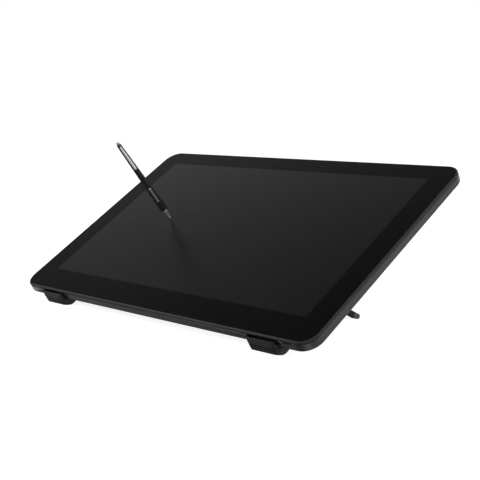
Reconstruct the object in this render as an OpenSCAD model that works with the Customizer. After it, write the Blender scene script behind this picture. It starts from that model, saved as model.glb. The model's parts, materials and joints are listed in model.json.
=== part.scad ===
// Drawing display with a 21.5 inch screen, fold-out rear legs and a slim stylus.
// The tablet is modelled flat, glass up, about the middle of its glass.
// It is then leant back by the tilt and stood on its front feet and legs.

/* [Screen] */
// Width of the lit area
active_w = 476; // [420:1:520]
// Height of the lit area
active_h = 267.8; // [240:0.2:290]
// Dark border of the glass at the left and right
bezel_side = 32.4; // [28:0.1:45]
// Dark border of the glass above the lit area
bezel_top = 28.2; // [26:0.1:40]
// Dark border of the glass below the lit area
bezel_bottom = 38; // [28:0.1:50]
// Corner radius of the glass
glass_r = 20; // [14:0.5:28]
// Thickness of the cover glass
glass_t = 1.2; // [0.7:0.1:2]
// Rounding of the glass edge
glass_round = 0.4; // [0.2:0.05:0.6]
// Thickness of the bonding tape under the glass edge
tape_t = 0.3; // [0.2:0.1:0.6]
// Border of the display panel beyond the lit area
panel_border = 3; // [1:0.5:4]
// Thickness of the display panel
panel_t = 1.8; // [1.2:0.1:2.5]
// Thickness of the backlight
light_t = 4.2; // [3:0.1:5]
// Thickness of the pen sensor board
sensor_t = 0.8; // [0.6:0.1:1.2]
// Thickness of the shield plate
shield_t = 0.8; // [0.5:0.1:1.2]

/* [Case] */
// Width of the frame edge that shows round the glass
rim_w = 2.2; // [1.8:0.1:4]
// Depth of the front frame at its outer edge
rim_h = 3; // [2.6:0.1:4]
// Depth of the bevel on the front frame
bevel_h = 1; // [0.8:0.1:2.3]
// Width of the flat land between glass and bevel
land_w = 0.5; // [0.3:0.1:1]
// Width of the ledge that carries the glass
ledge_w = 22; // [20:0.5:24]
// Gap round the glass
glass_gap = 0.15; // [0.1:0.05:0.3]
// Height of the seam between frame and rear cover
seam_h = 0.6; // [0.2:0.1:0.8]
// Depth of the seam
seam_d = 1; // [0.5:0.1:1.2]
// Height of the upright wall of the rear cover
wall_h = 9.8; // [8.5:0.1:12]
// Height of the sloped back edge
slope_h = 7.7; // [6.5:0.1:10]
// How far the back edge slopes inwards
slope_run = 14; // [10:0.5:17]
// Rounding of the front frame's bevel
bevel_round = 0.5; // [0.3:0.1:1]
// Rounding of the edges along the seam
seam_round = 0.3; // [0.1:0.05:0.4]
// Rounding between the wall and the sloped back edge
wall_round = 2; // [1:0.1:3]
// Rounding between the sloped back edge and the flat back
back_round = 6; // [3:0.5:9]
// Wall thickness of the rear cover
cover_t = 2.2; // [1.8:0.1:2.6]
// Thickness of the inner walls of the pockets
inner_t = 1.6; // [1.2:0.1:2]

/* [Fixings] */
// Distance of the case screws from the glass edge
screw_inset = 18; // [17:0.5:19]
// Distance of the middle screws from the centre line
screw_mid_x = 100; // [90:1:110]
// Diameter of the case screws
screw_d = 3; // [2.5:0.1:3.5]
// Diameter of the case screws' heads
screw_head_d = 5.5; // [5:0.1:6]
// Height of the case screws' heads
screw_head_h = 1.8; // [1.2:0.1:2]
// Diameter of the screw posts
post_d = 7; // [6.5:0.1:7.5]
// Clearance round screw shanks and heads
screw_gap = 0.2; // [0.1:0.05:0.3]
// Spacing of the wall-mount holes
vesa_pitch = 100; // [75:25:100]
// Bore of the threaded wall-mount inserts
vesa_bore_d = 4; // [3.5:0.1:5]
// Diameter of the threaded inserts
insert_d = 6.4; // [6:0.1:7]
// Length of the threaded inserts
insert_h = 8; // [6:0.5:8]
// Diameter of the bosses round the inserts
vesa_boss_d = 11; // [10:0.5:14]
// Length of a rubber pad on the back
pad_l = 70; // [50:1:90]
// Width of a rubber pad on the back
pad_w = 9; // [6:0.5:12]
// Thickness of a rubber pad on the back
pad_t = 1.4; // [1:0.1:2]
// Rounding of a rubber pad on the back
pad_round = 0.6; // [0.3:0.1:0.9]
// Distance of the rubber pads from the centre line
pad_x = 205; // [190:1:210]
// Distance of the rubber pads from the top of the flat back
pad_inset = 22; // [19:1:30]

/* [Vents] */
// Number of slots in each vent
vent_count = 12; // [4:1:14]
// Distance from slot to slot
vent_pitch = 5; // [4:0.5:6]
// Width of a slot
vent_w = 2; // [1.5:0.1:2.5]
// Length of a slot
vent_l = 22; // [12:1:26]
// Start of each vent beside the centre line
vent_x = 18; // [10:1:24]
// Distance of the vents above the middle of the back
vent_y = 102; // [90:1:108]

/* [Feet] */
// Distance of the feet from the centre line
foot_x = 200.5; // [190:0.5:204]
// Width of a foot
foot_w = 49; // [44:0.5:52]
// Radius of a foot's front corners
foot_r = 8; // [5:0.5:9]
// Length of a foot under the case
foot_l = 15; // [12:0.5:18]
// Length of a foot's flat sole
sole_l = 4; // [3:0.5:8]
// Radius of a foot's round heel
heel_r = 17; // [14:0.5:18]
// Lowest point of a foot's front edge below the glass
foot_drop = 20.5; // [19:0.5:24]
// Top of a foot's face below the glass
foot_top = 3.5; // [3:0.1:5]
// Height of the hard band above a foot's rubber face
foot_band = 2.8; // [2:0.1:4]
// Gap between a foot's front wall and the case
foot_gap = 2.7; // [2:0.1:3.5]
// Thickness of a foot's front wall
foot_lip = 1.3; // [1:0.1:2]
// Thickness of a foot's rubber
foot_pad_t = 1.8; // [1.4:0.1:2.5]
// Rounding of a foot's front edges
foot_edge = 1.2; // [0.5:0.1:1.3]
// Number of grooves across a foot's face
rib_count = 3; // [2:1:3]
// Distance from groove to groove
rib_pitch = 3.4; // [2.6:0.1:4]
// Height of the lowest groove over a foot's front edge
rib_low = 1.4; // [1:0.1:2]
// Height of a groove
rib_h = 1; // [0.6:0.1:1.3]
// Depth of a groove
rib_d = 0.7; // [0.4:0.1:1]
// Width of the notch above a foot
notch_w = 47.5; // [42:0.5:50]
// Depth of the notch
notch_d = 8; // [5:0.5:9]

/* [Stand] */
// Lean of the screen over the desk, in degrees
tilt = 31.7; // [26:0.1:36]
// Distance of the legs from the centre line
leg_x = 159; // [140:1:170]
// Width of a leg
leg_w = 11; // [9:0.5:12]
// Thickness of a leg
leg_t = 7; // [6:0.1:7.4]
// Rounding of a leg's long edges
leg_round = 1.2; // [0.6:0.1:2]
// Length of a leg from its pin to the centre of its round tip
leg_l = 134; // [125:1:145]
// Distance of the leg pins below the middle of the back
hinge_drop = 63; // [56:1:66]
// Height of the leg pins inside the back face
hinge_in = 4; // [3.9:0.1:4.3]
// Diameter of the leg pins
pin_d = 4; // [3:0.1:4.2]
// Radial clearance of a leg on its pin
pin_gap = 0.05; // [0.02:0.01:0.08]
// Thickness of the heads of a leg pin
pin_head_t = 1; // [0.8:0.1:1.4]
// Diameter of the heads of a leg pin
pin_head_d = 6; // [5:0.1:6.5]
// Thickness of a friction washer
washer_t = 0.5; // [0.4:0.05:0.7]
// Gap on each side of a friction washer
washer_gap = 0.05; // [0.03:0.01:0.1]
// Thickness of the bracket's ears
ear_t = 2; // [1.5:0.1:2.4]
// Thickness of the bracket's foot plate
plate_t = 1; // [0.8:0.1:1.2]
// Width of the hinge bay
bay_w = 25; // [24:0.5:28]
// Length of the hinge bay
bay_l = 18; // [17:0.5:22]
// Side gap of a folded leg in its pocket
pocket_gap = 1; // [0.6:0.1:1.5]
// Gap over a folded leg in its pocket
pocket_over = 0.5; // [0.4:0.1:0.6]
// Free length of the pocket past the leg's tip
pocket_end = 4; // [2:0.5:10]
// Length of a leg's rubber tip
tip_l = 12; // [8:0.5:18]
// Length of the tongue inside a rubber tip
tongue_l = 8; // [5:0.5:11]
// Thickness of the tongue inside a rubber tip
tongue_t = 3; // [2:0.1:4]
// Width of the groove along a leg
groove_w = 4.6; // [3:0.1:6]
// Depth of the groove along a leg
groove_d = 1.2; // [0.6:0.1:1.6]
// Diameter of the bracket screws
small_screw_d = 2.5; // [2:0.1:2.6]
// Diameter of the bracket screws' heads
small_head_d = 3.6; // [3.2:0.1:3.8]
// Height of the bracket screws' heads
small_head_h = 1; // [0.8:0.1:1.4]
// Length of the bracket and board screws' shanks
small_screw_l = 2.4; // [2:0.1:2.6]

/* [Electronics] */
// Width of the main board
board_w = 150; // [120:1:170]
// Height of the main board
board_h = 58; // [45:1:60]
// Thickness of the circuit boards
board_t = 1.6; // [1.2:0.1:2]
// Height of the posts under the main board
standoff_h = 2.6; // [2.4:0.1:3]
// Diameter of the posts under the main board
standoff_d = 6; // [5:0.5:8]
// Distance of the board screws from the board's edge
board_inset = 5; // [4:0.5:8]
// Gap between the main board and the top wall
board_gap = 4.4; // [4.2:0.1:6]
// Width of a chip on the main board
chip_w = 18; // [10:1:24]
// Height of a chip on the main board
chip_t = 1.4; // [0.8:0.1:1.6]
// Width of the flat cable
cable_w = 24; // [16:1:40]
// Thickness of the flat cable
cable_t = 0.3; // [0.2:0.05:0.5]
// Length of the flat cable's end on the main board
cable_end = 6; // [4:0.5:8]
// Distance between the two sockets
port_pitch = 24; // [16:1:40]
// Width of a socket shell
port_w = 9; // [8.4:0.1:9.5]
// Height of a socket shell
port_h = 3.2; // [2.8:0.1:3.4]
// Length of a socket shell
port_l = 9; // [7:0.1:10]
// Wall of a socket shell
port_wall = 0.3; // [0.2:0.05:0.5]
// Gap round a socket in the case
port_gap = 0.3; // [0.2:0.05:0.5]
// Distance of the button from the centre line
button_x = 112; // [104:1:140]
// Width of the button
button_w = 15; // [10:0.5:20]
// Height of the button
button_h = 3.4; // [2.5:0.1:4]
// How far the button stands out of the wall
button_out = 0.7; // [0.4:0.1:1]
// Rounding of the button's face
button_round = 0.5; // [0.2:0.1:0.6]
// Travel of the button
button_travel = 0.8; // [0.4:0.1:1]
// Gap round the button
button_gap = 0.3; // [0.2:0.05:0.4]
// Width of the flange that holds the button in
flange_w = 1.2; // [0.8:0.1:1.6]
// Thickness of that flange
flange_t = 1; // [0.8:0.1:1.2]
// Height of the switch behind the button
switch_t = 1.8; // [1.2:0.1:2.4]
// Distance of the status light from the centre line
lens_x = 239; // [232:1:242]
// Length of the status light
lens_l = 12; // [8:0.5:12]
// Height of the status light
lens_h = 0.9; // [0.6:0.1:1.2]
// Distance of the status light below the glass
lens_z = 4.5; // [4.4:0.1:6]
// Gap round the status light
lens_gap = 0.05; // [0.03:0.01:0.1]
// How far the status light reaches inside the wall
lens_tail = 1; // [0.5:0.1:2]

/* [Stylus] */
// Length of the stylus
pen_l = 160; // [140:1:175]
// Place of the stylus tip beside the centre line
pen_x = -125.4; // [-200:0.1:200]
// Place of the stylus tip above the middle of the glass
pen_y = 9.1; // [-100:0.1:100]
// Lean of the stylus from upright on the glass, in degrees
pen_lean = 16.7; // [0:0.1:50]
// Direction of that lean, in degrees from the right
pen_turn = -56; // [-180:1:180]
// Turn of the stylus about its own length, in degrees
pen_roll = 27.3; // [-180:0.1:180]
// Gap between the resting tip and the glass
pen_rest = 0.3; // [0.2:0.05:0.5]
// Diameter of the stylus at its grip
grip_d = 10.9; // [10.4:0.1:13]
// Diameter of the barrel at its far end
tail_d = 6.2; // [6:0.1:8]
// Length of the metal nose, with the nib
nose_l = 20; // [16:0.1:22]
// Diameter of the nose at its base
nose_d = 8.2; // [7.6:0.1:8.6]
// Diameter of the nose at its mouth
mouth_d = 3; // [2.6:0.1:3.6]
// Width of the ring at the base of the nose
ring_w = 0.9; // [0.5:0.1:1.5]
// Softening of the nose's mouth and of its ring
ring_round = 0.25; // [0.1:0.05:0.4]
// Length of nib that shows
nib_out = 2.2; // [1.4:0.1:3]
// Diameter of the nib
nib_d = 1.7; // [1.4:0.1:1.9]
// Radial clearance of the nib in the nose
nib_gap = 0.06; // [0.03:0.01:0.09]
// Travel of the nib
nib_travel = 0.8; // [0.4:0.1:1]
// Length of the nib behind the nose's spigot
nib_tail = 12; // [10:0.5:13]
// Length of the pressure sensor behind the nib
sensor_l = 2; // [1.5:0.1:2.5]
// Length of the metal end cap
cap_l = 6.3; // [4:0.1:9]
// Diameter of the end cap at its tip
cap_d = 2.6; // [1.5:0.1:3.5]
// Rounding of the end cap's tip
cap_round = 0.6; // [0.2:0.1:1]
// Rounding at the front of the grip
grip_round = 0.9; // [0.4:0.1:1.2]
// Diameter of the hollow in the barrel
hollow_d = 6.6; // [6:0.1:6.8]
// Diameter of the hollow near the far end
tail_hollow_d = 3.4; // [2.5:0.1:3.8]
// Length of the wide hollow
hollow_l = 66; // [62:1:70]
// Width of the stylus' circuit board
pen_board_w = 4.4; // [3.5:0.1:5]
// Length of the spigots that hold nose and cap
spigot_l = 6; // [4:0.5:8]
// Radial gap round pieces in the hollow
hollow_gap = 0.08; // [0.04:0.01:0.12]
// Middle of the rocker from the tip
rocker_s = 55; // [53:0.5:57]
// Length of the rocker
rocker_l = 25.5; // [22:0.5:28]
// Width of the rocker
rocker_w = 3; // [2.4:0.1:3.2]
// How far the rocker stands out of the barrel
rocker_out = 0.5; // [0.3:0.1:0.8]
// Gap round the rocker
rocker_gap = 0.3; // [0.25:0.05:0.4]
// Width of the bright trim round the rocker
trim_w = 0.5; // [0.3:0.1:0.7]
// Depth of the bright trim in the barrel
trim_d = 0.5; // [0.3:0.05:0.55]
// Diameter of the rocker's pin
rocker_pin_d = 0.9; // [0.8:0.1:1]
// Length of the rocker's pin
rocker_pin_l = 5.2; // [4.8:0.1:5.4]
// Dip in the middle of the rocker
rocker_dip = 0.3; // [0.1:0.05:0.4]

/* [Hidden] */

$fn = 64;
// Overshoot of a cut past the face that it opens
cut = 1;
// Largest share of a side that the rounding at one of its ends may take
corner_share = 0.45;
// Oversize of a rounding, so that it crosses the sides that it joins
corner_over = 0.0005;

// Outline of the glass and the case
glass_w = active_w + 2 * bezel_side;
glass_h = active_h + bezel_top + bezel_bottom;
lit_y = (bezel_bottom - bezel_top) / 2;
corner_x = glass_w / 2 - glass_r;
corner_y = glass_h / 2 - glass_r;
case_r = glass_r + rim_w;
case_y = corner_y + case_r;
slope = slope_h / slope_run;

// Levels below the glass
z_ledge = -(glass_t + tape_t);
z_seam = -rim_h;
z_wall = -(rim_h + wall_h);
z_back = z_wall - slope_h;
z_inner = z_back + cover_t;
z_panel = -(glass_t + panel_t);
z_light = z_panel - light_t;
z_sensor = z_light - sensor_t;
z_shield = z_sensor - shield_t;
z_board = z_shield - standoff_h;

// Inner plates: the shield reaches the screw posts
screw_x = glass_w / 2 - screw_inset;
screw_y = glass_h / 2 - screw_inset;
shield_x = screw_x + post_d / 2;
shield_y = screw_y + post_d / 2;
screw_places = [
    for (x = [-screw_x, -screw_mid_x, screw_mid_x, screw_x])
        for (y = [-screw_y, screw_y])
            [x, y]
];

// Stand: height of the glass centre over the desk, and the opening of the legs
sole_y = -case_y - foot_gap - foot_lip - foot_pad_t;
stand_h = foot_drop * cos(tilt) - sole_y * sin(tilt);
hinge_y = -hinge_drop;
hinge_z = z_back + hinge_in;
hinge_height = stand_h + hinge_y * sin(tilt) + hinge_z * cos(tilt);
leg_open = tilt + asin((hinge_height - leg_t / 2) / leg_l);
// The box of the standing object is centred from front to back
front_y = sole_y * cos(tilt) + foot_top * sin(tilt);
rear_y = case_y * cos(tilt) - z_wall * sin(tilt);
stand_y = -(front_y + rear_y) / 2;

// Leg pocket and hinge bay
pocket_w = leg_w + 2 * pocket_gap;
pocket_z = hinge_z + leg_t / 2 + pocket_over;
pocket_top = hinge_y + leg_l + leg_t / 2 + pocket_end;
bay_z = pocket_z + plate_t;
ear_x = leg_w / 2 + washer_t + 2 * washer_gap;
ear_r = leg_t / 2;
bracket_hole_x = (ear_x + ear_t + bay_w / 2) / 2;
bracket_hole_y = bay_l / 2 - small_head_d / 2 - inner_t / 2;

// Sockets and button on the top wall
port_z = z_board + port_h / 2;
button_z = (z_seam + z_wall) / 2;
wall_in_y = case_y - cover_t;
board_top = wall_in_y - board_gap;
button_back = wall_in_y - button_gap - flange_t;
switch_top = button_back - button_travel - button_gap;
switch_y = switch_top - switch_t;

// Stylus
nib_back = nose_l + spigot_l + nib_tail;
tail_s = pen_l - cap_l;
barrel_l = tail_s - nose_l;
grip_r = grip_d / 2;
tail_r = tail_d / 2;
barrel_r_at = function(s) grip_r + (tail_r - grip_r) * (s - nose_l) / barrel_l;
rocker_r = barrel_r_at(rocker_s);
barrel_taper = atan((grip_r - tail_r) / barrel_l);
rocker_pin_x = hollow_d / 2 + rocker_pin_d / 2;

// A tablet piece, leant back and stood on the desk
module stood() {
    translate([0, stand_y, stand_h])
        rotate([tilt, 0, 0])
            children();
}

// Unit vector from one point to another
function toward(a, b) = (b - a) / norm(b - a);

// A polygon whose convex corner i is rounded by radii[i]; 0 leaves it sharp.
// Each corner holds its point, the two ends of its rounding, the centre and the radius.
module soft_outline(points, radii) {
    n = len(points);
    corners = [
        for (i = [0:n - 1])
            let (
                p = points[i],
                before = points[(i + n - 1) % n],
                after = points[(i + 1) % n],
                half = acos(toward(p, before) * toward(p, after)) / 2,
                room = corner_share * min(norm(before - p), norm(after - p)),
                back = min(radii[i] / tan(half), room),
                aim = toward(p, before) + toward(p, after)
            )
            if (radii[i] > 0)
                [p, p + toward(p, before) * back, p + toward(p, after) * back,
                    p + aim / norm(aim) * back / cos(half), back * tan(half)]
    ];
    difference() {
        polygon(points);
        for (c = corners)
            difference() {
                polygon([c[1], 2 * c[0] - (c[1] + c[2]) / 2, c[2]]);
                translate(c[3])
                    circle(r = c[4] + corner_over);
            }
    }
}

// A section carried round the rounded rectangle of the case.
// The section's x runs outwards from the line through the corner centres, its y is height.
module rim_sweep() {
    for (k = [0:3]) {
        ahead = k % 2 == 0 ? corner_x : corner_y;
        beside = k % 2 == 0 ? corner_y : corner_x;
        rotate([0, 0, 90 * k])
            translate([ahead, beside, 0]) {
                rotate([90, 0, 0])
                    linear_extrude(2 * beside)
                        children();
                rotate_extrude(angle = 90)
                    children();
            }
    }
}

// A flat plate between two levels, filling the rectangle through the corner centres
module core_plate(low, high) {
    translate([-corner_x, -corner_y, low])
        cube([2 * corner_x, 2 * corner_y, high - low]);
}

// A plate with round corners of radius r about the case's corner centres, its upper edge rounded
module round_plate(r, low, high, edge) {
    rim_sweep()
        soft_outline([[0, low], [r, low], [r, high], [0, high]], [0, 0, edge, 0]);
    core_plate(low, high);
}

// A block given by its centre in x and y, its size and its two levels
module block(x, y, w, h, low, high) {
    translate([x - w / 2, y - h / 2, low])
        cube([w, h, high - low]);
}

// A slot with round ends, standing on z = 0
module slot(l, w, h) {
    linear_extrude(h) {
        square([l - w, w], center = true);
        for (x = [-1, 1])
            translate([x * (l - w) / 2, 0])
                circle(d = w);
    }
}

// A slot with round ends and a rounded upper edge, standing on z = 0
module pill(l, w, h, edge) {
    r = w / 2;
    for (turn = [0, 180])
        rotate([0, 0, turn])
            translate([l / 2 - r, 0, 0])
                rotate([0, 0, -90])
                    rotate_extrude(angle = 180)
                        soft_outline([[0, 0], [r, 0], [r, h], [0, h]], [0, 0, edge, 0]);
    translate([r - l / 2, 0, 0])
        rotate([90, 0, 90])
            linear_extrude(l - w)
                soft_outline([[-r, 0], [r, 0], [r, h], [-r, h]], [0, 0, edge, edge]);
}

// A rod between two levels
module rod(x, y, d, low, high) {
    translate([x, y, low])
        cylinder(d = d, h = high - low);
}

module frame_section() {
    edge = glass_r + glass_gap;
    rim_sweep()
        soft_outline([
            [0, z_seam],
            [case_r, z_seam],
            [case_r, -bevel_h],
            [edge + land_w, 0],
            [edge, 0],
            [edge, z_ledge],
            [0, z_ledge]
        ], [0, seam_round, bevel_round, bevel_round, 0, 0, 0]);
}

module front_frame() {
    color("#26272a")
        stood()
            difference() {
                union() {
                    frame_section();
                    core_plate(z_seam, z_ledge);
                    for (p = screw_places)
                        rod(p[0], p[1], post_d, z_sensor, z_seam + (z_ledge - z_seam) / 2);
                }
                block(0, 0, glass_w - 2 * ledge_w, glass_h - 2 * ledge_w, z_seam - cut, z_ledge + cut);
                for (p = screw_places)
                    rod(p[0], p[1], screw_d + 2 * screw_gap, z_sensor - cut, z_seam);
            }
}

module cover_glass() {
    color("#0b0c0d")
        stood()
            round_plate(glass_r, -glass_t, 0, glass_round);
}

module glass_tape() {
    color("#3a3a3c")
        stood()
            difference() {
                round_plate(glass_r - land_w, z_ledge, -glass_t, 0);
                block(0, 0, glass_w - 2 * ledge_w, glass_h - 2 * ledge_w, z_ledge - cut, -glass_t + cut);
            }
}

panel_w = active_w + 2 * panel_border;
panel_h = active_h + 2 * panel_border;

module display_panel() {
    color("#141a20")
        stood()
            block(0, lit_y, panel_w, panel_h, z_panel, -glass_t);
}

module backlight_unit() {
    color("#d8dadc")
        stood()
            block(0, lit_y, panel_w, panel_h, z_light, z_panel);
}

module digitizer_board() {
    color("#1d5a3a")
        stood()
            block(0, lit_y, panel_w, panel_h, z_sensor, z_light);
}

board_y = board_top - board_h / 2;
board_holes = [
    for (x = [-1, 1])
        for (y = [-1, 1])
            [x * (board_w / 2 - board_inset), board_y + y * (board_h / 2 - board_inset)]
];

module shield_plate() {
    color("#aeb2b6")
        stood()
            difference() {
                union() {
                    block(0, 0, 2 * shield_x, 2 * shield_y, z_shield, z_sensor);
                    for (p = board_holes)
                        if (p[1] < shield_y - standoff_d / 2)
                            rod(p[0], p[1], standoff_d, z_board, z_shield);
                }
                for (p = screw_places)
                    rod(p[0], p[1], screw_d + 2 * screw_gap, z_shield - cut, z_sensor + cut);
                for (p = board_holes)
                    rod(p[0], p[1], small_screw_d + 2 * screw_gap, z_board - cut, z_shield);
            }
}

module cover_section() {
    back_r = case_r - slope_run;
    inner_r = case_r - cover_t;
    // The inner slope runs parallel to the outer one
    fall = cover_t * (sqrt(1 + slope * slope) - slope);
    rim_sweep()
        soft_outline([
            [case_r - seam_d, z_seam],
            [inner_r, z_seam],
            [inner_r, z_wall + fall],
            [inner_r - (z_wall + fall - z_inner) / slope, z_inner],
            [0, z_inner],
            [0, z_back],
            [back_r, z_back],
            [case_r, z_wall],
            [case_r, z_seam - seam_h],
            [case_r - seam_d, z_seam - seam_h]
        ], [0, 0, 0, 0, 0, 0, back_round, wall_round, seam_round, 0]);
}

// Solid backing of the notch above a foot, flush with wall, seam and slope
module notch_block(side) {
    depth = notch_d + inner_t;
    width = notch_w + 2 * inner_t;
    lip = z_seam - seam_h;
    translate([side * foot_x - width / 2, -case_y, 0])
        rotate([90, 0, 90])
            linear_extrude(width)
                soft_outline([
                    [depth, z_seam],
                    [seam_d, z_seam],
                    [seam_d, lip],
                    [0, lip],
                    [0, z_wall],
                    [depth, z_wall - depth * slope]
                ], [0, 0, 0, seam_round, wall_round, 0]);
}

// The notch reaches from the frame's underside down to the foot of the wall
module notch_cut(side) {
    block(side * foot_x, -case_y + (notch_d - cut) / 2, notch_w, notch_d + cut, z_wall, z_seam + cut);
}

// Hollow of a leg pocket, grown by the given wall
module pocket(side, grow, bottom) {
    block(side * leg_x, (hinge_y + pocket_top) / 2, pocket_w + 2 * grow,
        pocket_top - hinge_y + 2 * grow, bottom, pocket_z + grow);
    block(side * leg_x, hinge_y, bay_w + 2 * grow, bay_l + 2 * grow, bottom, bay_z + grow);
}

module switch_ribs() {
    for (x = [-1, 1])
        translate([button_x + x * (button_w / 2 + flange_w + 2 * button_gap + inner_t), 0, 0])
            block(0, (switch_y + wall_in_y + cover_t / 2) / 2, inner_t, wall_in_y + cover_t / 2 - switch_y,
                z_wall + cover_t, z_seam - seam_h);
}

module vents() {
    for (side = [-1, 1])
        for (i = [0:vent_count - 1])
            translate([side * (vent_x + i * vent_pitch), vent_y, z_back - cut])
                rotate([0, 0, 90])
                    slot(vent_l, vent_w, cover_t + 2 * cut);
}

module wall_slot(x, z, l, w, y, depth) {
    translate([x, y, z])
        rotate([-90, 0, 0])
            slot(l, w, depth);
}

module rear_cover() {
    color("#2e2f32")
        stood()
            difference() {
                union() {
                    cover_section();
                    core_plate(z_back, z_inner);
                    for (side = [-1, 1]) {
                        notch_block(side);
                        pocket(side, inner_t, z_back);
                    }
                    for (p = screw_places)
                        rod(p[0], p[1], post_d, z_back, z_shield);
                    for (x = [-1, 1])
                        for (y = [-1, 1])
                            rod(x * vesa_pitch / 2, y * vesa_pitch / 2, vesa_boss_d, z_back,
                                z_back + insert_h + inner_t);
                    switch_ribs();
                }
                for (side = [-1, 1]) {
                    notch_cut(side);
                    pocket(side, 0, z_back - cut);
                    for (x = [-1, 1])
                        for (y = [-1, 1])
                            rod(side * leg_x + x * bracket_hole_x, hinge_y + y * bracket_hole_y,
                                small_screw_d + 2 * screw_gap, bay_z - cut, bay_z + inner_t + cut);
                }
                for (p = screw_places) {
                    rod(p[0], p[1], screw_d + 2 * screw_gap, z_back - cut, z_shield + cut);
                    rod(p[0], p[1], screw_head_d + 2 * screw_gap, z_back - cut, z_back + screw_head_h);
                }
                for (x = [-1, 1])
                    for (y = [-1, 1])
                        translate([x * vesa_pitch / 2, y * vesa_pitch / 2, z_back - cut])
                            cylinder(d = insert_d, h = insert_h + cut);
                for (x = [-1, 1])
                    wall_slot(x * port_pitch / 2, port_z, port_w + 2 * port_gap, port_h + 2 * port_gap,
                        wall_in_y - cut, cover_t + 2 * cut);
                wall_slot(button_x, button_z, button_w + 2 * button_gap, button_h + 2 * button_gap,
                    wall_in_y - cut, cover_t + 2 * cut);
                wall_slot(lens_x, -lens_z, lens_l, lens_h, -case_y - cut, cover_t + 2 * cut);
                vents();
            }
}

module main_board() {
    under = z_board - board_t;
    color("#17492f")
        stood()
            difference() {
                union() {
                    block(0, board_y, board_w, board_h, under, z_board);
                    for (x = [-1, 0, 1])
                        block(x * board_w / 4, board_y, chip_w, chip_w, under - chip_t, under);
                }
                for (p = board_holes)
                    rod(p[0], p[1], small_screw_d + 2 * screw_gap, under - cut, z_board + cut);
            }
}

module usb_ports() {
    color("#c4c6c8")
        stood()
            for (x = [-1, 1])
                translate([x * port_pitch / 2, case_y - cover_t / 2 - port_l, port_z])
                    rotate([-90, 0, 0])
                        difference() {
                            slot(port_w, port_h, port_l);
                            translate([0, 0, port_l / 4])
                                slot(port_w - 2 * port_wall, port_h - 2 * port_wall, port_l);
                        }
}

module flat_cable() {
    low_y = board_y - board_h / 2;
    color("#c98a2e")
        stood() {
            block(0, low_y - cable_end, cable_w, 4 * cable_end, z_shield - cable_t, z_shield);
            block(0, low_y + cable_end, cable_w, cable_end, z_board, z_shield);
        }
}

module switch_board() {
    width = button_w + 2 * flange_w + 4 * button_gap + 3 * inner_t;
    color("#17492f")
        stood() {
            block(button_x, switch_y - board_t / 2, width, board_t, z_wall + cover_t, z_seam - seam_h);
            block(button_x, (switch_y + switch_top) / 2, button_h, switch_t,
                button_z - button_h / 2, button_z + button_h / 2);
        }
}

module power_button() {
    color("#1b1c1e")
        stood() {
            translate([button_x, button_back, button_z])
                rotate([-90, 0, 0])
                    pill(button_w, button_h, case_y + button_out - button_back, button_round);
            wall_slot(button_x, button_z, button_w + 2 * flange_w, button_h + 2 * flange_w,
                button_back, flange_t);
        }
}

module status_lens() {
    color("#b9c4cc")
        stood()
            wall_slot(lens_x, -lens_z, lens_l - 2 * lens_gap, lens_h - 2 * lens_gap,
                -case_y, cover_t + lens_tail);
}

module vesa_inserts() {
    color("#b08d4a")
        stood()
            for (x = [-1, 1])
                for (y = [-1, 1])
                    translate([x * vesa_pitch / 2, y * vesa_pitch / 2, z_back])
                        difference() {
                            cylinder(d = insert_d, h = insert_h);
                            translate([0, 0, -cut])
                                cylinder(d = vesa_bore_d, h = insert_h + 2 * cut);
                        }
}

module case_screws() {
    color("#2a2a2c")
        stood()
            for (p = screw_places) {
                rod(p[0], p[1], screw_d, z_back + screw_head_h / 2, z_seam - cut);
                rod(p[0], p[1], screw_head_d, z_back + screw_head_h / 4, z_back + screw_head_h);
            }
}

module board_screws() {
    low = z_board - board_t;
    color("#8c8f92")
        stood()
            for (p = board_holes) {
                rod(p[0], p[1], small_screw_d, low - small_head_h / 2, low + board_t + small_screw_l);
                rod(p[0], p[1], small_head_d, low - small_head_h, low);
            }
}

module rear_pads() {
    color("#1a1a1b")
        stood()
            for (x = [-1, 1])
                translate([x * pad_x, case_y - slope_run - pad_inset, z_back])
                    rotate([180, 0, 0])
                        pill(pad_l, pad_w, pad_t, pad_round);
}

// Frame of the desk under a foot: y runs back along the desk, z is up
module on_desk(side) {
    translate([side * foot_x, sole_y, -foot_drop])
        rotate([-tilt, 0, 0])
            children();
}

foot_back = -case_y + foot_l;
foot_tall = foot_drop + foot_l;

// Form of a foot less a skin all round: from above it has round front corners, from the side a flat
// sole and a round heel, and its front wall stands a gap away from the wall of the case
module foot_form(side, skin, edge) {
    w = foot_w / 2 - skin;
    r = foot_r - skin;
    front = sole_y + skin;
    heel = sole_l + heel_r - skin;
    lip = -case_y - foot_gap;
    intersection() {
        translate([side * foot_x, 0, -2 * foot_tall])
            linear_extrude(2 * foot_tall)
                soft_outline([[-w, front], [w, front], [w, foot_back], [-w, foot_back]], [r, r, 0, 0]);
        on_desk(side)
            translate([-foot_w, 0, 0])
                rotate([90, 0, 90])
                    linear_extrude(2 * foot_w)
                        soft_outline([
                            [-foot_tall, skin],
                            [heel, skin],
                            [heel, 2 * foot_tall],
                            [-foot_tall, 2 * foot_tall]
                        ], [0, heel_r - skin, 0, 0]);
        translate([side * foot_x - foot_w, 0, 0])
            rotate([90, 0, 90])
                linear_extrude(2 * foot_w)
                    soft_outline([
                        [lip, -foot_top],
                        [front, -foot_top],
                        [front, -2 * foot_tall],
                        [foot_back, -2 * foot_tall],
                        [foot_back, z_wall - foot_l * slope],
                        [-case_y, z_wall],
                        [lip, z_wall]
                    ], [0, edge, 0, 0, 0, 0, 0]);
    }
}

// Everything of the feet's front above or below the lower edge of the hard band
module band_side(side, low, high) {
    block(side * foot_x, sole_y, 2 * foot_w, 4 * foot_tall, low, high);
}

band_z = -foot_top - foot_band;

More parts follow.
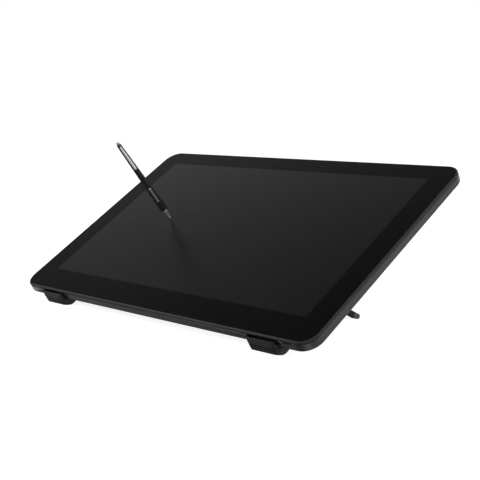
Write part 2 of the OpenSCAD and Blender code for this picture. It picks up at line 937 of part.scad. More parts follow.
module foot(side) {
    color("#303134")
        stood() {
            foot_form(side, foot_pad_t, 0);
            intersection() {
                foot_form(side, 0, foot_edge);
                band_side(side, band_z, 0);
            }
        }
}

module foot_pad(side) {
    color("#222325")
        stood()
            difference() {
                foot_form(side, 0, foot_edge);
                foot_form(side, foot_pad_t, 0);
                band_side(side, band_z, 0);
                for (i = [0:rib_count - 1])
                    translate([side * foot_x, sole_y, rib_low + i * rib_pitch - foot_drop])
                        cube([2 * foot_w, 2 * rib_d, rib_h], center = true);
            }
}

module foot_left() { foot(-1); }
module foot_right() { foot(1); }
module foot_pad_left() { foot_pad(-1); }
module foot_pad_right() { foot_pad(1); }

// Hinge frame of a leg: x along the pin, y along the folded leg
module at_hinge(side) {
    stood()
        translate([side * leg_x, hinge_y, hinge_z])
            children();
}

// A round bar along x
module cross_bar(d, x0, x1) {
    translate([x0, 0, 0])
        rotate([0, 90, 0])
            cylinder(d = d, h = x1 - x0);
}

module hinge_bracket(side) {
    top = bay_z - hinge_z;
    color("#8f9296")
        at_hinge(side)
            difference() {
                union() {
                    block(0, 0, bay_w - pocket_gap, bay_l - pocket_gap, top - plate_t, top);
                    for (x = [-1, 1])
                        translate([x * (ear_x + ear_t / 2), 0, 0]) {
                            block(0, 0, ear_t, 2 * ear_r, 0, top);
                            cross_bar(2 * ear_r, -ear_t / 2, ear_t / 2);
                        }
                }
                cross_bar(pin_d, -bay_w, bay_w);
                for (x = [-1, 1])
                    for (y = [-1, 1])
                        rod(x * bracket_hole_x, y * bracket_hole_y, small_screw_d + 2 * screw_gap,
                            top - plate_t - cut, top + cut);
            }
}

module hinge_pin(side) {
    out = ear_x + ear_t;
    color("#b5b8bb")
        at_hinge(side) {
            cross_bar(pin_d, -out, out);
            for (x = [-1, 1])
                translate([x * (out + pin_head_t / 2), 0, 0])
                    cross_bar(pin_head_d, -pin_head_t / 2, pin_head_t / 2);
        }
}

module hinge_washers(side) {
    color("#c9b27a")
        at_hinge(side)
            for (x = [-1, 1])
                translate([x * (leg_w / 2 + washer_gap + washer_t / 2), 0, 0])
                    difference() {
                        cross_bar(leg_t - 4 * pin_gap, -washer_t / 2, washer_t / 2);
                        cross_bar(pin_d + 2 * pin_gap, -washer_t, washer_t);
                    }
}

module hinge_bracket_left() { hinge_bracket(-1); }
module hinge_bracket_right() { hinge_bracket(1); }
module hinge_pin_left() { hinge_pin(-1); }
module hinge_pin_right() { hinge_pin(1); }
module hinge_washers_left() { hinge_washers(-1); }
module hinge_washers_right() { hinge_washers(1); }

module hinge_screws() {
    seat = bay_z - hinge_z - plate_t;
    color("#77797c")
        for (side = [-1, 1])
            at_hinge(side)
                for (x = [-1, 1])
                    for (y = [-1, 1]) {
                        rod(x * bracket_hole_x, y * bracket_hole_y, small_screw_d, seat - small_head_h / 2,
                            seat + small_screw_l);
                        rod(x * bracket_hole_x, y * bracket_hole_y, small_head_d, seat - small_head_h, seat);
                    }
}

// A leg at rest, opened until its tip stands on the desk
module at_leg(side) {
    at_hinge(side)
        rotate([-leg_open, 0, 0])
            children();
}

leg_end = leg_l - tip_l + leg_t / 2;

// A straight length of leg with round long edges
module leg_bar(start, end) {
    w = leg_w / 2;
    t = leg_t / 2;
    r = leg_round;
    translate([0, end, 0])
        rotate([90, 0, 0])
            linear_extrude(end - start)
                soft_outline([[-w, -t], [w, -t], [w, t], [-w, t]], [r, r, r, r]);
}

module leg(side) {
    color("#232427")
        at_leg(side)
            difference() {
                union() {
                    cross_bar(leg_t, -leg_w / 2, leg_w / 2);
                    block(0, leg_t / 2, leg_w, leg_t, -leg_t / 2, leg_t / 2);
                    leg_bar(leg_t, leg_end);
                    block(0, leg_end + tongue_l / 2 - cut / 2, leg_w - tongue_t, tongue_l + cut,
                        -tongue_t / 2, tongue_t / 2);
                }
                cross_bar(pin_d + 2 * pin_gap, -leg_w, leg_w);
                translate([0, (leg_t + leg_end) / 2, -leg_t / 2 - cut])
                    rotate([0, 0, 90])
                        slot(leg_end - 2 * leg_t, groove_w, groove_d + cut);
            }
}

module leg_tip(side) {
    color("#4a4b4e")
        at_leg(side)
            difference() {
                union() {
                    leg_bar(leg_end, leg_l);
                    intersection() {
                        leg_bar(leg_l, leg_l + leg_t);
                        translate([0, leg_l, 0])
                            cross_bar(leg_t, -leg_w, leg_w);
                    }
                }
                block(0, leg_end + tongue_l / 2 - cut / 2, leg_w - tongue_t, tongue_l + cut,
                    -tongue_t / 2, tongue_t / 2);
            }
}

module leg_left() { leg(-1); }
module leg_right() { leg(1); }
module leg_tip_left() { leg_tip(-1); }
module leg_tip_right() { leg_tip(1); }

// Stylus frame: z runs from the tip along the pen, x faces out of the rocker
module at_pen() {
    stood()
        translate([pen_x, pen_y, pen_rest])
            rotate([0, pen_lean, pen_turn])
                rotate([0, 0, pen_roll])
                    children();
}

// Frame on the barrel's skin at the rocker: x is square to the skin, z runs along it
module on_skin() {
    translate([rocker_r, 0, rocker_s])
        rotate([0, -barrel_taper, 0])
            children();
}

// A slot along the barrel between two heights over its skin
module rocker_slot(l, w, low, high) {
    on_skin()
        translate([low, 0, 0])
            rotate([0, 90, 0])
                slot(l, w, high - low);
}

// The room that the rocker moves in, open from the barrel's middle to the outside
module rocker_room() {
    rocker_slot(rocker_l + 2 * rocker_gap, rocker_w + 2 * rocker_gap, -rocker_r, grip_d);
}

module rocker_pin(d, l) {
    translate([rocker_pin_x, -l / 2, rocker_s])
        rotate([-90, 0, 0])
            cylinder(d = d, h = l);
}

hollow_r = hollow_d / 2;
tail_hollow_r = tail_hollow_d / 2;
hollow_end = nose_l + hollow_l;
trim_l = rocker_l + 2 * rocker_gap + 2 * trim_w;
trim_out = rocker_w + 2 * rocker_gap + 2 * trim_w;

module pen_barrel() {
    color("#1e1f21")
        at_pen()
            difference() {
                rotate_extrude()
                    soft_outline([
                        [hollow_r, nose_l],
                        [grip_r, nose_l],
                        [tail_r, tail_s],
                        [tail_hollow_r, tail_s],
                        [tail_hollow_r, hollow_end],
                        [hollow_r, hollow_end]
                    ], [0, grip_round, 0, 0, 0, 0]);
                rocker_room();
                rocker_slot(trim_l, trim_out, -trim_d, grip_d);
                rocker_pin(rocker_pin_d + 2 * nib_gap, rocker_pin_l + 2 * rocker_gap);
            }
}

module pen_nose() {
    spigot_r = hollow_r - hollow_gap;
    bore_r = nib_d / 2 + nib_gap;
    color("#c9cacc")
        at_pen()
            rotate_extrude()
                soft_outline([
                    [bore_r, nib_out],
                    [mouth_d / 2 - ring_round, nib_out],
                    [mouth_d / 2, nib_out + ring_round],
                    [nose_d / 2 - ring_w / 2, nose_l - ring_w],
                    [nose_d / 2, nose_l - ring_w],
                    [nose_d / 2, nose_l],
                    [spigot_r, nose_l],
                    [spigot_r, nose_l + spigot_l],
                    [bore_r, nose_l + spigot_l]
                ], [0, 0, 0, 0, ring_round, 0, 0, 0, 0]);
}

module pen_nib() {
    color("#2a2a2c")
        at_pen()
            union() {
                translate([0, 0, nib_d / 2])
                    cylinder(d = nib_d, h = nib_back - nib_d / 2);
                translate([0, 0, nib_d / 2])
                    sphere(d = nib_d);
            }
}

module pen_rocker() {
    low = hollow_r - rocker_pin_d / 2 - rocker_r;
    // Radius of the shallow dip along the rocker's back
    dip_r = (rocker_l * rocker_l / 4 + rocker_dip * rocker_dip) / (2 * rocker_dip);
    color("#6f7276")
        at_pen() {
            difference() {
                rocker_slot(rocker_l, rocker_w, low, rocker_out);
                on_skin()
                    translate([rocker_out + dip_r - rocker_dip, -grip_d / 2, 0])
                        rotate([-90, 0, 0])
                            cylinder(r = dip_r, h = grip_d, $fn = 256);
            }
            rocker_pin(rocker_pin_d, rocker_pin_l);
        }
}

module pen_trim() {
    color("#d0d2d4")
        at_pen()
            difference() {
                rocker_slot(trim_l, trim_out, -trim_d, rocker_out / 2);
                rocker_room();
            }
}

module pen_end_cap() {
    spigot_r = tail_hollow_r - hollow_gap;
    color("#d0d2d4")
        at_pen()
            rotate_extrude()
                soft_outline([
                    [0, tail_s - spigot_l],
                    [spigot_r, tail_s - spigot_l],
                    [spigot_r, tail_s],
                    [tail_r, tail_s],
                    [cap_d / 2, pen_l],
                    [0, pen_l]
                ], [0, 0, 0, 0, cap_round, 0]);
}

coil_s = nose_l + spigot_l;
sensor_s = nib_back + nib_travel + nib_travel / 2;

module pen_coil() {
    color("#a8552a")
        at_pen()
            difference() {
                rod(0, 0, hollow_d - 2 * hollow_gap, coil_s, nib_back - nib_travel);
                rod(0, 0, nib_d + 2 * nib_gap, coil_s - cut, nib_back + cut);
            }
}

module pen_sensor() {
    color("#9a9da0")
        at_pen()
            difference() {
                rod(0, 0, hollow_d - 2 * hollow_gap, sensor_s, sensor_s + sensor_l);
                rocker_room();
            }
}

module pen_board() {
    start = sensor_s + sensor_l;
    color("#17492f")
        at_pen()
            translate([-board_t, -pen_board_w / 2, start])
                cube([board_t, pen_board_w, hollow_end - start - nib_travel]);
}

front_frame();
cover_glass();
glass_tape();
display_panel();
backlight_unit();
digitizer_board();
shield_plate();
rear_cover();
main_board();
usb_ports();
flat_cable();
switch_board();
power_button();
status_lens();
vesa_inserts();
case_screws();
board_screws();
rear_pads();
foot_left();
foot_right();
foot_pad_left();
foot_pad_right();
hinge_bracket_left();
hinge_bracket_right();
hinge_pin_left();
hinge_pin_right();
hinge_washers_left();
hinge_washers_right();
hinge_screws();
leg_left();
leg_right();
leg_tip_left();
leg_tip_right();
pen_barrel();
pen_nose();
pen_nib();
pen_rocker();
pen_trim();
pen_end_cap();
pen_coil();
pen_sensor();
pen_board();
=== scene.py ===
# %% [markdown]
# # A drawing display and its stylus
#
# A wide drawing screen leans back on two front feet and two fold-out legs, and a slim stylus stands on
# its glass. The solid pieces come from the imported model. This lesson gives every surface its finish,
# adds the small pieces that a solid model leaves out, and lights the whole like a catalogue picture.

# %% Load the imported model
import json
import math

import bmesh
import bpy
import numpy as np
from mathutils import Matrix, Vector


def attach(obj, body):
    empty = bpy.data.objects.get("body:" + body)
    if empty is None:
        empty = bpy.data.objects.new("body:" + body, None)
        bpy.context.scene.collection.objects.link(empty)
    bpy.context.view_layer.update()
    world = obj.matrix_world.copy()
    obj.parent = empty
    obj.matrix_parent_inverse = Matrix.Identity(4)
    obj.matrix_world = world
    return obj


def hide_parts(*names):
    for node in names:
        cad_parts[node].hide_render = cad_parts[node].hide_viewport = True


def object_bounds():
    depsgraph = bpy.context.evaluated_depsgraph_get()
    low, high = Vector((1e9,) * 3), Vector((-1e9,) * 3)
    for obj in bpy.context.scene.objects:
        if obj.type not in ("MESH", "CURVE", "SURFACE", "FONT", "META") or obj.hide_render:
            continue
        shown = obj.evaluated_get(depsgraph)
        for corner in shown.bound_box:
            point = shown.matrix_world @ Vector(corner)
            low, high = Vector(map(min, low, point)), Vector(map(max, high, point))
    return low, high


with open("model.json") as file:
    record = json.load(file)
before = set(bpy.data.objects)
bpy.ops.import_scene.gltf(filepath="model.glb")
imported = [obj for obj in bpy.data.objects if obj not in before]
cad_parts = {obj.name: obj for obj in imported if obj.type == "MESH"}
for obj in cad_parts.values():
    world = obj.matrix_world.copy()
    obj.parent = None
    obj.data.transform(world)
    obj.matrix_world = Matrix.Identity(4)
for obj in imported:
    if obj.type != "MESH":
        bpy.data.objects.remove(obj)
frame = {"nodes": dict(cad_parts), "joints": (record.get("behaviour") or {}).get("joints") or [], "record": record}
nodes = frame["nodes"]
cad_low, cad_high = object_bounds()
MM = 0.001
print("nodes", len(nodes), "box in mm", [round(v / MM, 1) for v in cad_high - cad_low])

# %% [markdown]
# ## The screen's own frame
#
# The screen leans, so sizes on the glass are easiest in a frame that leans with it: x runs along the
# lower edge, y up the glass and z out of it, with the origin in the middle of the glass. Its tilt could
# be typed in, but the wall-mount holes on the back already know it: their axis is square to the glass.

# %% Measure the screen's frame
wall_mount = next(m for m in frame["record"]["mounts"] if m["name"] == "wall_mount")
screen_out = -np.array(wall_mount["axis"], float)
screen_out /= np.linalg.norm(screen_out)
TILT = math.atan2(-screen_out[1], screen_out[2])
SCREEN = np.array([[1, 0, 0], [0, math.cos(TILT), math.sin(TILT)], screen_out])


def corners_of(node):
    """All corner points of a solid piece, one row each."""
    points = np.empty(len(nodes[node].data.vertices) * 3, np.float32)
    nodes[node].data.vertices.foreach_get("co", points)
    return points.reshape(-1, 3).astype(float)


def turned_box(points):
    """Lowest and highest value of points along the screen's three directions."""
    turned = points @ SCREEN.T
    return turned.min(0), turned.max(0)


glass_low, glass_high = turned_box(corners_of("cover_glass"))
panel_low, panel_high = turned_box(corners_of("display_panel"))
glass_middle = np.array([*(glass_low + glass_high)[:2] / 2, glass_high[2]])
GLASS_CENTRE = glass_middle @ SCREEN
PANEL_BORDER = 3.0 * MM
LIT_SIZE = (panel_high - panel_low)[:2] - 2 * PANEL_BORDER
LIT_MIDDLE = (panel_low + panel_high)[:2] / 2 - glass_middle[:2]
print("tilt", round(math.degrees(TILT), 2), "glass in mm", np.round((glass_high - glass_low) / MM, 1),
      "lit area in mm", np.round(LIT_SIZE / MM, 1))

# %% [markdown]
# ## The stylus' own frame
#
# The stylus leans over the glass, so its small parts need a frame of their own: z runs from the tip along
# the barrel, x out of its button, y across it. The joints of the model know these directions: the nib slides
# along z and the button rocks about y. The tip is the lowest point of the nib, and the barrel's cone is read
# from its two ends.

# %% Measure the stylus' frame
joint = {row["name"]: row for row in frame["joints"]}
pen_z = np.array(joint["pen_nib_press"]["axis"], float)
pen_y = np.array(joint["pen_rocker_tilt"]["axis"], float)
pen_z, pen_y = pen_z / np.linalg.norm(pen_z), pen_y / np.linalg.norm(pen_y)
PEN = np.array([np.cross(pen_y, pen_z), pen_y, pen_z])
nib = corners_of("pen_nib") @ PEN.T
PEN_TIP = np.array([*(nib.min(0) + nib.max(0))[:2] / 2, nib[:, 2].min()]) @ PEN


def in_pen(points):
    """World points in the stylus' frame."""
    return (points - PEN_TIP) @ PEN.T


def from_pen(points):
    """Points of the stylus' frame in the world."""
    return points @ PEN + PEN_TIP


barrel = in_pen(corners_of("pen_barrel"))
barrel_radius = np.hypot(barrel[:, 0], barrel[:, 1])
thickest = barrel_radius.argmax()
grip_s, grip_r = barrel[thickest, 2], barrel_radius[thickest]
tail_s = barrel[:, 2].max()
tail_r = barrel_radius[barrel[:, 2] > tail_s - 0.05 * MM].max()
PEN_TAPER = math.atan2(grip_r - tail_r, tail_s - grip_s)


def barrel_r(s):
    """Radius of the barrel at a distance from the tip: a straight line from grip to tail."""
    return grip_r + (tail_r - grip_r) * (s - grip_s) / (tail_s - grip_s)


print("barrel from", round(grip_s / MM, 1), "to", round(tail_s / MM, 1), "mm, radius",
      round(grip_r / MM, 2), "to", round(tail_r / MM, 2))

# %% [markdown]
# ## The camera
#
# The picture was taken from the right front corner, a little above the desk, with a long lens. The four
# corners of the lit area fix where the camera stood, so it is given here from the glass's middle, with two
# directions. A camera looks along its own -Z with +Y up, so the columns of its matrix are right, up and
# backwards.

# %% Place the camera
CAMERA_PLACE = Vector(GLASS_CENTRE) + Vector((0.96167, -0.93247, 0.16390))
LOOK = Vector((-0.70272, 0.69907, -0.13224)).normalized()
LENS_MM = 75.63
SENSOR_MM = 36.0
CAMERA_DOWN = Vector((0.09318, -0.09384, -0.99122))
side = LOOK.cross(-CAMERA_DOWN).normalized()
up = side.cross(LOOK)
camera_data = bpy.data.cameras.new("camera")
camera_data.lens = LENS_MM
camera_data.sensor_width = SENSOR_MM
camera = bpy.data.objects.new("camera", camera_data)
camera.matrix_world = Matrix.Translation(CAMERA_PLACE) @ Matrix((side, up, -LOOK)).transposed().to_4x4()
bpy.context.scene.collection.objects.link(camera)
bpy.context.scene.camera = camera
bpy.context.scene.view_settings.view_transform = "Standard"
print("camera looks along", [round(v, 3) for v in LOOK])

# %% [markdown]
# ## Short helpers for shader nodes
#
# A material is a small graph. A few helpers keep it readable. One adds a node and fills its sockets, where a
# value that is itself a socket becomes a link. Others do sums, carry a value from one range to another, or
# give a point's place in the screen's or the stylus' frame. The last starts a material with its Principled
# shader.


# %% Node helpers
def add(tree, kind, inputs=None, **settings):
    """One shader node. Values in inputs fill its sockets, and sockets given there are linked instead."""
    made = tree.nodes.new("ShaderNode" + kind)
    for key, value in settings.items():
        setattr(made, key, value)
    for key, value in (inputs or {}).items():
        if isinstance(value, bpy.types.NodeSocket):
            tree.links.new(value, made.inputs[key])
        else:
            made.inputs[key].default_value = value
    return made


def maths(tree, operation, a, b=0.0):
    """The result socket of one Math node."""
    return add(tree, "Math", {0: a, 1: b}, operation=operation).outputs[0]


def mixed(tree, factor, a, b):
    """A colour between a and b by factor."""
    made = add(tree, "Mix", {0: factor, 6: a, 7: b}, data_type="RGBA")
    return made.outputs[2]


def ranged(tree, value, low, high, to_low, to_high):
    """value carried from one range to another, held at the ends."""
    made = add(tree, "MapRange", {0: value, 1: low, 2: high, 3: to_low, 4: to_high})
    return made.outputs[0]


def graded(tree, value, stops):
    """A grey that follows value through stops of (value, level), with straight steps in between."""
    first, last = stops[0][0], stops[-1][0]
    made = add(tree, "ValToRGB", {0: ranged(tree, value, first, last, 0.0, 1.0)})
    marks = made.color_ramp.elements
    marks[0].color, marks[1].color = grey(stops[0][1]), grey(stops[-1][1])
    for place, level in stops[1:-1]:
        marks.new((place - first) / (last - first)).color = grey(level)
    return made.outputs[0]


def on_screen(tree):
    """Sockets of a point's three coordinates in the screen's frame, from the middle of the glass."""
    turned = add(tree, "Mapping", {"Vector": add(tree, "TexCoord").outputs["Object"],
                                   "Location": GLASS_CENTRE, "Rotation": (TILT, 0, 0)},
                 vector_type="TEXTURE")
    return add(tree, "SeparateXYZ", {0: turned.outputs[0]}).outputs


def on_pen(tree):
    """Sockets of a point's three coordinates in the stylus' frame, from its tip."""
    turn = Matrix(PEN.T.tolist()).to_euler("XYZ")
    turned = add(tree, "Mapping", {"Vector": add(tree, "TexCoord").outputs["Object"],
                                   "Location": PEN_TIP, "Rotation": turn}, vector_type="TEXTURE")
    return add(tree, "SeparateXYZ", {0: turned.outputs[0]}).outputs


def overlay(material, mask, colour):
    """Lays a colour over a finish's own colour where a mask is 1."""
    tree = material.node_tree
    target = tree.nodes["Principled BSDF"].inputs["Base Color"]
    tree.links.new(mixed(tree, mask, target.links[0].from_socket, colour), target)


def grey(level, warm=0.0):
    """A near-grey colour; warm above 0 leans to red, below 0 to blue."""
    return (level * (1 + warm), level, level * (1 - warm), 1.0)


def new_group(name, inputs, outputs):
    """An empty node group with float inputs, given as name: start value, and named outputs."""
    group = bpy.data.node_groups.new(name, "ShaderNodeTree")
    for key, value in inputs.items():
        socket = group.interface.new_socket(key, in_out="INPUT", socket_type="NodeSocketFloat")
        socket.default_value = value
    for key, kind in outputs.items():
        group.interface.new_socket(key, in_out="OUTPUT", socket_type="NodeSocket" + kind)
    return group, group.nodes.new("NodeGroupInput"), group.nodes.new("NodeGroupOutput")


def place_group(tree, group, **inputs):
    """A node group placed in a material with its own values."""
    made = tree.nodes.new("ShaderNodeGroup")
    made.node_tree = group
    for key, value in inputs.items():
        made.inputs[key].default_value = value
    return made


def start_finish(name, **sockets):
    """A new material with its Principled shader, and the values that are the same all over it."""
    material = bpy.data.materials.new(name)
    material.use_nodes = True
    shader = material.node_tree.nodes["Principled BSDF"]
    for key, value in sockets.items():
        shader.inputs[key.replace("_", " ")].default_value = value
    return material, material.node_tree, shader


# %% [markdown]
# ## Effects that many finishes share
#
# Three effects come back on most surfaces, so each is a node group. Moulded grain is the fine sandy skin
# that a spark-eroded mould leaves on plastic. Softened edge rounds the shading of every sharp corner by a
# few tenths of a millimetre and paints the corners a little brighter, partly as handling wear and partly as
# a painted highlight along the edges. Settled dust is a faint pale film on what faces up.

# %% Moulded grain
grain_group, grain_in, grain_out = new_group(
    "moulded_grain", {"Scale": 2500.0, "Mottle Scale": 40.0}, {"Height": "Float", "Mottle": "Float"})
where = add(grain_group, "TexCoord").outputs["Object"]
fine = add(grain_group, "TexNoise", {"Vector": where, "Scale": grain_in.outputs["Scale"], "Detail": 3.0})
slow = add(grain_group, "TexNoise",
           {"Vector": where, "Scale": grain_in.outputs["Mottle Scale"], "Detail": 4.0})
grain_group.links.new(fine.outputs[0], grain_out.inputs["Height"])
grain_group.links.new(slow.outputs[0], grain_out.inputs["Mottle"])

# %% Softened edge
edge_group, edge_in, edge_out = new_group(
    "softened_edge", {"Radius": 0.0004, "Rub": 1.0}, {"Normal": "Vector", "Mask": "Float"})
rounded = add(edge_group, "Bevel", {"Radius": edge_in.outputs["Radius"]}, samples=6)
true_normal = add(edge_group, "NewGeometry").outputs["Normal"]
turn = add(edge_group, "VectorMath", {0: rounded.outputs[0], 1: true_normal}, operation="DOT_PRODUCT")
turned_away = ranged(edge_group, turn.outputs["Value"], 1.0, 0.85, 0.0, 1.0)
where = add(edge_group, "TexCoord").outputs["Object"]
patchy = add(edge_group, "TexNoise", {"Vector": where, "Scale": 180.0})
patchy_mask = ranged(edge_group, patchy.outputs[0], 0.35, 0.65, 0.35, 1.0)
# Painted highlight and wear: corners are marked brighter, partly as handling wear, partly as a painted edge
# highlight.
rub_and_sheen_mask = maths(edge_group, "MULTIPLY", maths(edge_group, "MULTIPLY", turned_away, patchy_mask),
               edge_in.outputs["Rub"])
edge_group.links.new(rounded.outputs[0], edge_out.inputs["Normal"])
edge_group.links.new(rub_and_sheen_mask, edge_out.inputs["Mask"])

# %% Settled dust
dust_group, dust_in, dust_out = new_group("settled_dust", {"Amount": 0.1}, {"Mask": "Float"})
upward = add(dust_group, "SeparateXYZ", {0: add(dust_group, "NewGeometry").outputs["Normal"]}).outputs[2]
facing_up = ranged(dust_group, upward, 0.3, 1.0, 0.0, 1.0)
specks = add(dust_group, "TexNoise", {"Vector": add(dust_group, "TexCoord").outputs["Object"],
                                      "Scale": 900.0, "Detail": 6.0, "Roughness": 0.7})
speck_mask = ranged(dust_group, specks.outputs[0], 0.45, 0.75, 0.0, 1.0)
film = maths(dust_group, "MULTIPLY", maths(dust_group, "MULTIPLY", facing_up, speck_mask),
             dust_in.outputs["Amount"])
dust_group.links.new(film, dust_out.inputs["Mask"])
print("node groups", [g.name for g in bpy.data.node_groups])

# %% [markdown]
# ## Moulded and painted finishes
#
# Most of the object is black, but not one black: the case is a smooth plastic that mirrors the room, the
# frame a matt paint, the feet a duller plastic and the rubber a dusty dark grey. One function makes them
# all. It mixes the colour by the slow mottle, paints edges brighter (wear and painted highlight), lays a
# little dust on top, varies the roughness with the grain, and feeds grain and softened edge to the normal.


# %% Moulded finish
def moulded(name, level, warm=0.0, rough=0.45, rough_swing=0.08, grain=2500.0, depth=0.00002, mottle=40.0,
            swing=0.12, edge=0.0004, rub_and_sheen=0.35, dust=0.06, sheen=0.5, rim_sheen=None, **sockets):
    """A moulded, painted or rubber surface of grey level, with grain depth and edge radius in metres.

    sheen is the specular level; where the surface turns away from the eye it may fall to rim_sheen.
    """
    material, tree, shader = start_finish(name, Specular_IOR_Level=sheen, **sockets)
    if rim_sheen is not None:
        facing = add(tree, "LayerWeight", {"Blend": 0.5}).outputs["Facing"]
        tree.links.new(ranged(tree, facing, 0.3, 0.8, sheen, rim_sheen),
                       shader.inputs["Specular IOR Level"])
    skin = place_group(tree, grain_group, **{"Scale": grain, "Mottle Scale": mottle})
    corner = place_group(tree, edge_group, Radius=edge, Rub=rub_and_sheen)
    film = place_group(tree, dust_group, Amount=dust)
    base = mixed(tree, skin.outputs["Mottle"],
                 grey(level * (1 - swing), warm), grey(level * (1 + swing), warm))
    # Edges painted brighter: partly wear, partly a painted highlight.
    wear_and_sheen = mixed(tree, corner.outputs["Mask"], base, grey(level * 1.8 + 0.01, warm))
    dusty = mixed(tree, film.outputs["Mask"], wear_and_sheen, grey(0.3, 0.04))
    tree.links.new(dusty, shader.inputs["Base Color"])
    tree.links.new(ranged(tree, skin.outputs["Height"], 0.3, 0.7, rough - rough_swing, rough + rough_swing),
                   shader.inputs["Roughness"])
    bump = add(tree, "Bump", {"Height": skin.outputs["Height"], "Normal": corner.outputs["Normal"],
                              "Strength": 1.0, "Distance": depth})
    tree.links.new(bump.outputs[0], shader.inputs["Normal"])
    return material


finishes = {
    "frame": moulded("satin_frame_paint", 0.036, rough=0.45, grain=4000.0, depth=0.000004, rub_and_sheen=0.1,
                     sheen=0.06),
    "case": moulded("sandy_case_plastic", 0.015, rough=0.2, rough_swing=0.04, depth=0.000005),
    "button": moulded("smooth_button_plastic", 0.02, rough=0.35, depth=0.000005),
    "dark_screw": moulded("blackened_screw", 0.02, rough=0.35, depth=0.000004, Metallic=0.8),
    "rubber": moulded("black_rubber", 0.045, rough=0.7, grain=1800.0, depth=0.00003, rub_and_sheen=0.15, sheen=0.15),
    "foot": moulded("matt_foot_plastic", 0.028, rough=0.55, depth=0.00002, sheen=0.15),
    "leg": moulded("leg_paint", 0.008, rough=0.5, grain=3500.0, depth=0.000008, sheen=0.15),
    "leg_rubber": moulded("grey_leg_rubber", 0.065, rough=0.7, grain=1800.0, depth=0.00003, rub_and_sheen=0.1,
                          sheen=0.2),
    "pen_black": moulded("soft_touch_pen", 0.018, rough=0.36, grain=5000.0, depth=0.000002, edge=0.0002,
                         dust=0.0, sheen=0.4, rim_sheen=0.0),
    "pen_tip": moulded("hard_nib", 0.8, rough=0.4, depth=0.000003, edge=0.0001, dust=0.0),
    "pen_key": moulded("grey_rocker_plastic", 0.16, -0.02, rough=0.4, grain=5000.0, depth=0.000004,
                       edge=0.0002),
    "lens": moulded("smoked_light_pipe", 0.003, rough=0.5, depth=0.000002, edge=0.0001, rub_and_sheen=0.0, dust=0.0,
                    sheen=0.05),
    "panel": moulded("dark_panel", 0.01, -0.1, rough=0.3, depth=0.000002),
    "light_guide": moulded("white_light_guide", 0.7, rough=0.4, depth=0.000005, rub_and_sheen=0.0, dust=0.0),
    "film": moulded("amber_film", 0.22, 0.6, rough=0.3, depth=0.000003, rub_and_sheen=0.1),
    "circuit_board": moulded("green_board", 0.04, rough=0.35, depth=0.000005),
}
print("finishes", len(finishes))

# %% [markdown]
# ## Metals
#
# Hinges, sockets and inserts are plain steel and brass, and the coil inside the stylus is copper. Turned and
# rolled metal shows fine lines. They could be cut as geometry, but they are far too fine, so the noise is
# stretched along one direction before it drives the roughness and a very shallow bump.


# %% Metal finish
def metal(name, colour, rough=0.25, lines=(4000.0, 4000.0, 300.0), depth=0.000002, edge=0.0002):
    """Bare metal of one colour, with fine lines given as noise frequencies along x, y and z."""
    material, tree, shader = start_finish(name, Metallic=1.0)
    where = add(tree, "Mapping", {"Vector": add(tree, "TexCoord").outputs["Object"], "Scale": lines})
    streaks = add(tree, "TexNoise", {"Vector": where.outputs[0], "Scale": 1.0, "Detail": 3.0}).outputs[0]
    corner = place_group(tree, edge_group, Radius=edge, Rub=0.4)
    dull = tuple(v * 0.86 for v in colour)
    base = mixed(tree, streaks, (*dull, 1.0), (*colour, 1.0))
    # Metal edges painted brighter: partly wear, partly a painted highlight.
    metal_wear_and_sheen = mixed(tree, corner.outputs["Mask"], base, (*(min(1.0, v * 1.15) for v in colour), 1.0))
    tree.links.new(metal_wear_and_sheen, shader.inputs["Base Color"])
    tree.links.new(ranged(tree, streaks, 0.3, 0.7, rough * 0.8, rough * 1.25), shader.inputs["Roughness"])
    bump = add(tree, "Bump", {"Height": streaks, "Normal": corner.outputs["Normal"],
                              "Strength": 1.0, "Distance": depth})
    tree.links.new(bump.outputs[0], shader.inputs["Normal"])
    return material


finishes["steel"] = metal("plain_steel", (0.52, 0.52, 0.54), rough=0.35)
finishes["plate"] = metal("bare_sheet", (0.6, 0.6, 0.62), rough=0.4)
finishes["brass"] = metal("turned_brass", (0.62, 0.45, 0.2), rough=0.3)
finishes["copper"] = metal("enamelled_copper", (0.55, 0.24, 0.11), rough=0.35)
print("finishes with metals", len(finishes))

# %% [markdown]
# ## The glass
#
# One sheet of etched glass covers the whole front. Its border is printed black from behind, and the screen
# shows through the rest as a slightly lighter grey. Two sheets could be modelled, but seen from outside the
# print is only a change of colour and gloss, so a rectangle worked out in the screen's own frame does it:
# the distance of a point inside the nearest side of the lit area, turned into a mask with a soft rim. The
# lit part mirrors more light than the print, which a clear coat of the same roughness gives it.

# %% Glass finish
LIT_GREY = 0.004
PRINT_GREY = 0.0005
PRINT_SHEEN = 0.15
LIT_COAT = 0.45
GLASS_ROUGH = (0.34, 0.42)
LIT_RIM = 0.2 * MM
glass_finish, tree, shader = start_finish(
    "etched_glass", Specular_IOR_Level=PRINT_SHEEN, Coat_Roughness=sum(GLASS_ROUGH) / 2)
across, along, _ = on_screen(tree)


def inside_by(place, middle, size):
    """How far a place lies inside the nearer of two opposite sides of the lit area."""
    from_middle = maths(tree, "ABSOLUTE", maths(tree, "SUBTRACT", place, middle))
    return maths(tree, "SUBTRACT", size / 2, from_middle)


